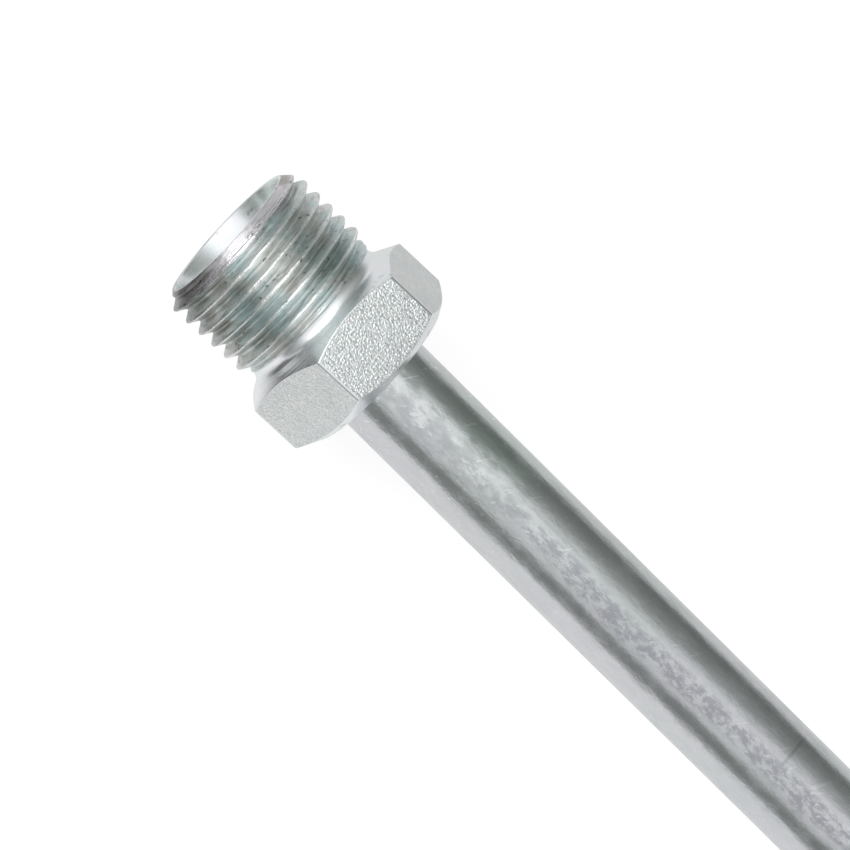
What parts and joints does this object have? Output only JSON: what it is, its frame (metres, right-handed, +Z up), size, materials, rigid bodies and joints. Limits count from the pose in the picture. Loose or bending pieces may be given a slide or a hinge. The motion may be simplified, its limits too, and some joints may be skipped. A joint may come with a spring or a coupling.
{
  "type": "power steering pressure hose",
  "caption": "Power steering pressure hose lying in a U: plated steel tubes with brazed male port fittings, joined by a crimped rubber hose.",
  "frame": {"origin": "on the floor, below the middle of the rigid pieces' bounding box; the free rubber hose is not counted", "axes": "+X from the port mouths along the fittings to the ferrules, +Y from end a to end b, +Z up as the hose lies"},
  "size_m": [0.3743, 0.1896, 0.0224],
  "materials": {
    "port_fitting": "clear zinc plate",
    "steel_tube": "clear zinc plate",
    "braze": "zinc plated over the braze",
    "ferrule": "clear zinc plate",
    "hose_rubber": "matt black"
  },
  "bodies": {
    "root": {"port_fitting_a": "port_fitting", "port_fitting_b": "port_fitting", "steel_tube_a": "steel_tube", "steel_tube_b": "steel_tube", "braze_ring_a": "braze", "braze_ring_b": "braze", "crimp_ferrule_a": "ferrule", "crimp_ferrule_b": "ferrule", "gripped_hose_a": "hose_rubber", "gripped_hose_b": "hose_rubber", "rubber_hose": "hose_rubber"}
  },
  "joints": []
}
